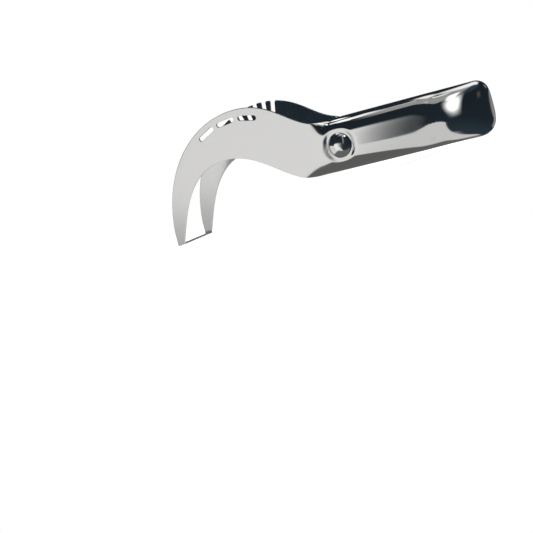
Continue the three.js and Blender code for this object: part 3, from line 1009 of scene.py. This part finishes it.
# Studio, in metres
WHITE = (1, 1, 1, 1)
FLOOR_RADIUS = 0.6
FLOOR_FADE = 0.3  # where the floor starts to fade out
FLOOR_SIDES = 96
FLOOR_COLOR = (0.9, 0.9, 0.9, 1)
FLOOR_ROUGH = 0.9
FLOOR_GLOW = 0.85
LAMP_SIZE = 1.6
LAMP_HEIGHT = 1.2
LAMP_POWER = 14
DEEP_DIM = 0.6  # what is left of the studio after two reflections
DEEP_RANGE = (1.2, 1.8)  # between the first reflection and the second
DARK_TINT = (0.64, 1.0, 1.35, 1)  # cool tone of the dark studio, of the darkest flags and of the dark sheets that paint shade between the arms
DARK_LEVEL = 0.05  # cards weaker than this take that tone
CARD_HALF = 0.5  # a card is made 1 by 1 and then scaled
LEVEL_CARD = 0.97  # a card that faces this nearly up or down counts as level
# Brightness of the dark studio, from 0, straight below the held tool, to 1, straight above it
STUDIO_LEVELS = ((0.0, 0.05), (0.5, 0.026), (0.93, 0.022), (1.0, 0.07))


def floor_piece():
    """Pale floor that fades out before its rim, so that it has no horizon."""
    mesh = bmesh.new()
    bmesh.ops.create_circle(mesh, cap_ends=True, segments=FLOOR_SIDES, radius=FLOOR_RADIUS)
    data = bpy.data.meshes.new("floor")
    mesh.to_mesh(data)
    mesh.free()
    material = bpy.data.materials.new("pale floor")
    material.use_nodes = True
    tree = material.node_tree
    shader = tree.nodes["Principled BSDF"]
    shader.inputs["Base Color"].default_value = FLOOR_COLOR
    shader.inputs["Roughness"].default_value = FLOOR_ROUGH
    shader.inputs["Specular IOR Level"].default_value = 0.0
    shader.inputs["Emission Color"].default_value = WHITE
    shader.inputs["Emission Strength"].default_value = FLOOR_GLOW
    coords = tree.nodes.new("ShaderNodeTexCoord").outputs["Object"]
    reach = add_node(tree, "ShaderNodeVectorMath", {0: coords}, operation="LENGTH")
    shown = map_range(tree, reach.outputs["Value"], (FLOOR_FADE, FLOOR_RADIUS), (1.0, 0.0))
    tree.links.new(shown, shader.inputs["Alpha"])
    data.materials.append(material)
    floor = new_piece("floor", data)
    floor.visible_glossy = False  # the table cards stand for it in reflections
    return floor


def first_reflection(tree):
    """1 for what the tool reflects once, and less for what is passed on between its faces."""
    depth = tree.nodes.new("ShaderNodeLightPath").outputs["Glossy Depth"]
    return map_range(tree, depth, DEEP_RANGE, (1.0, DEEP_DIM))


def light_card(name, centre, facing, width, height, strength, fade_across, fade_up, roll=0):
    """Soft-edged glowing card, placed round the held tool, that shows only in its reflections."""
    mesh = bmesh.new()
    bmesh.ops.create_grid(mesh, x_segments=1, y_segments=1, size=CARD_HALF)
    data = bpy.data.meshes.new(name)
    mesh.to_mesh(data)
    mesh.free()
    card = new_piece(name, data)
    normal = Vector(facing).normalized()
    level = abs(normal.z) >= LEVEL_CARD
    across = Vector((1, 0, 0)) if level else Vector((0, 0, 1)).cross(normal)
    across.normalize()
    turned = Matrix((across, normal.cross(across), normal)).transposed()
    turned = Matrix.Rotation(math.radians(roll), 3, normal) @ turned
    size = Matrix.Diagonal((width, height, 1, 1))
    place = Matrix.Translation(HELD @ Vector(centre))
    card.matrix_world = place @ (HELD @ turned).to_4x4() @ size
    card.visible_camera = False
    card.visible_diffuse = False
    card.visible_shadow = False
    material = bpy.data.materials.new(name)
    material.use_nodes = True
    material.cycles.emission_sampling = "NONE"
    tree = material.node_tree
    tree.nodes.clear()
    coords = tree.nodes.new("ShaderNodeTexCoord").outputs["Object"]
    parts = add_node(tree, "ShaderNodeSeparateXYZ", {0: coords})
    glow = first_reflection(tree)
    opaque = 1.0
    for axis, share in (("X", fade_across / width), ("Y", fade_up / height)):
        edge = math_node(tree, "ABSOLUTE", parts.outputs[axis])
        fade = map_range(tree, edge, (CARD_HALF - share, CARD_HALF), (1.0, 0.0))
        opaque = math_node(tree, "MULTIPLY", fade, opaque)
    light = add_node(tree, "ShaderNodeEmission", {
        "Color": DARK_TINT if strength < DARK_LEVEL else WHITE,
        "Strength": math_node(tree, "MULTIPLY", glow, strength),
    })
    clear = tree.nodes.new("ShaderNodeBsdfTransparent")
    both = add_node(tree, "ShaderNodeMixShader", {
        0: opaque, 1: clear.outputs[0], 2: light.outputs[0],
    })
    output = tree.nodes.new("ShaderNodeOutputMaterial")
    tree.links.new(both.outputs[0], output.inputs["Surface"])
    data.materials.append(material)
    return card


floor = floor_piece()

# Each card's name, centre, facing, width, height, strength, fade across and fade up, and for some a
# roll in degrees. Centre and facing are given round the held tool, as the camera's direction is.
for values in (
    ("front_card", (-0.183, -0.252, -0.095), (-0.613, 0.79, 0), 0.56, 0.31, 1.0, 0.095, 0.015),
    ("far_front_card", (-0.183, 0.252, -0.11), (-0.613, -0.79, 0), 0.56, 0.28, 1.0, 0.095, 0.015),
    ("far_side_card", (0.231, 0.29, 0.0), (-0.727, -0.68, 0), 0.36, 0.26, 0.4, 0.12, 0.06),
    ("far_top_card", (0.23, 0.26, 0.24), (-0.6, -0.57, -0.56), 0.2, 0.14, 0.35, 0.07, 0.05),
    ("table_card", (-0.2805, -0.2795, -0.105), (0, 0, 1), 0.7, 0.85, 0.8, 0.012, 0.03, -7.5),
    ("far_table_card", (-0.2765, 0.2795, -0.106), (0, 0, 1), 0.7, 0.85, 0.35, 0.03, 0.03, 7.5),
    (
        "under_card", (0.0389, -0.0019, 0.0182), (-0.299, 0, 0.954),
        0.046, 0.119, 0.15, 0.003, 0.006, 27.5,
    ),
    ("prong_flag", (-0.2, -0.149, -0.095), (0, 1, 0), 0.17, 0.11, 0.55, 0.03, 0.05),
    ("key_card", (0.066, -0.095, 0.116), (0.119, 0.835, -0.537), 0.072, 0.2, 3.0, 0.036, 0.1, -29),
    ("crown_card", (0.0415, -0.0393, 0.1394), (0.57, 0, -0.82), 0.053, 0.03, 2.5, 0.014, 0.012),
    ("shoulder_card", (0.018, -0.021, 0.128), (0.57, 0, -0.82), 0.068, 0.12, 0.42, 0.012, 0.03),
    ("strip_card", (-0.385, 0.09, 0.6), (0, 0, -1), 0.26, 0.26, 1.5, 0.04, 0.03),
    ("neck_card", (-0.004, -0.012, 0.06), (0, 0, -1), 0.014, 0.014, 1.5, 0.003, 0.003),
    ("lip_card", (-0.0225, 0.0154, 0.0679), (0.567, -0.63, -0.53), 0.014, 0.014, 1.8, 0.003, 0.003),
    ("rim_card", (-0.025, 0.01, 0.103), (0.35, -0.35, -0.87), 0.025, 0.025, 1.5, 0.008, 0.008),
    ("roof_card", (0.029, 0.086, 0.238), (0.265, -0.459, -0.848), 0.18, 0.22, 1.3, 0.04, 0.05),
    ("side_card", (0.203, -0.041, 0.155), (-0.757, 0.217, -0.616), 0.07, 0.07, 0.085, 0.03, 0.03),
    ("dome_flag", (0.046, -0.057, 0.068), (-0.551, 0.632, -0.55), 0.034, 0.08, 0.026, 0.003, 0.003),
    # Two dark sheets in the gap between the arms, seen only in reflections: painted shade on the
    # far arm's inner face and comb, above the near arm and by the mouth.
    ("arm_flag", (-0.0598, 0, 0.0425), (0, 1, 0), 0.09, 0.024, 0.03, 0.003, 0.003, -HELD_TILT),
    ("mouth_flag", (-0.0334, 0, 0.0297), (0, 1, 0), 0.052, 0.026, 0.03, 0.003, 0.003, -HELD_TILT),
):
    light_card(*values)

lamp_data = bpy.data.lights.new("floor_lamp", "AREA")
lamp_data.size = LAMP_SIZE
lamp_data.energy = LAMP_POWER
lamp = bpy.data.objects.new("floor_lamp", lamp_data)
bpy.context.scene.collection.objects.link(lamp)
lamp.location = (0, 0, LAMP_HEIGHT)
lamp.visible_glossy = False
lamp.visible_camera = False


def ramp(tree, value, stops):
    """Levels of the dark tone, blended from stop to stop."""
    node = add_node(tree, "ShaderNodeValToRGB", {"Fac": value})
    elements = node.color_ramp.elements
    while len(elements) < len(stops):
        elements.new(0.5)
    for element, (position, level) in zip(elements, stops):
        element.position = position
        element.color = (*(level * part for part in DARK_TINT[:3]), 1)
    return node.outputs["Color"]


def studio_world():
    """Dark studio for the reflections, and plain white behind the tool."""
    world = bpy.data.worlds.new("studio")
    bpy.context.scene.world = world
    world.use_nodes = True
    world.cycles.sampling_method = "NONE"
    tree = world.node_tree
    tree.nodes.clear()
    direction = tree.nodes.new("ShaderNodeTexCoord").outputs["Generated"]
    up = add_node(
        tree, "ShaderNodeVectorMath",
        {0: direction, 1: HELD @ Vector((0, 0, 1))}, operation="DOT_PRODUCT",
    )
    height = math_node(tree, "MULTIPLY", math_node(tree, "ADD", up.outputs["Value"], 1.0), 0.5)
    studio = ramp(tree, height, STUDIO_LEVELS)
    dimmed = add_node(
        tree, "ShaderNodeVectorMath",
        {0: studio, "Scale": first_reflection(tree)}, operation="SCALE",
    )
    seen = tree.nodes.new("ShaderNodeLightPath").outputs["Is Camera Ray"]
    color_a, color_b, color_result = 6, 7, 2
    shown = add_node(
        tree, "ShaderNodeMix", {"Factor": seen, color_a: dimmed.outputs[0], color_b: WHITE},
        data_type="RGBA",
    )
    sky = add_node(tree, "ShaderNodeBackground", {"Color": shown.outputs[color_result]})
    output = tree.nodes.new("ShaderNodeOutputWorld")
    tree.links.new(sky.outputs[0], output.inputs["Surface"])


studio_world()
bpy.context.scene.view_settings.view_transform = "Standard"
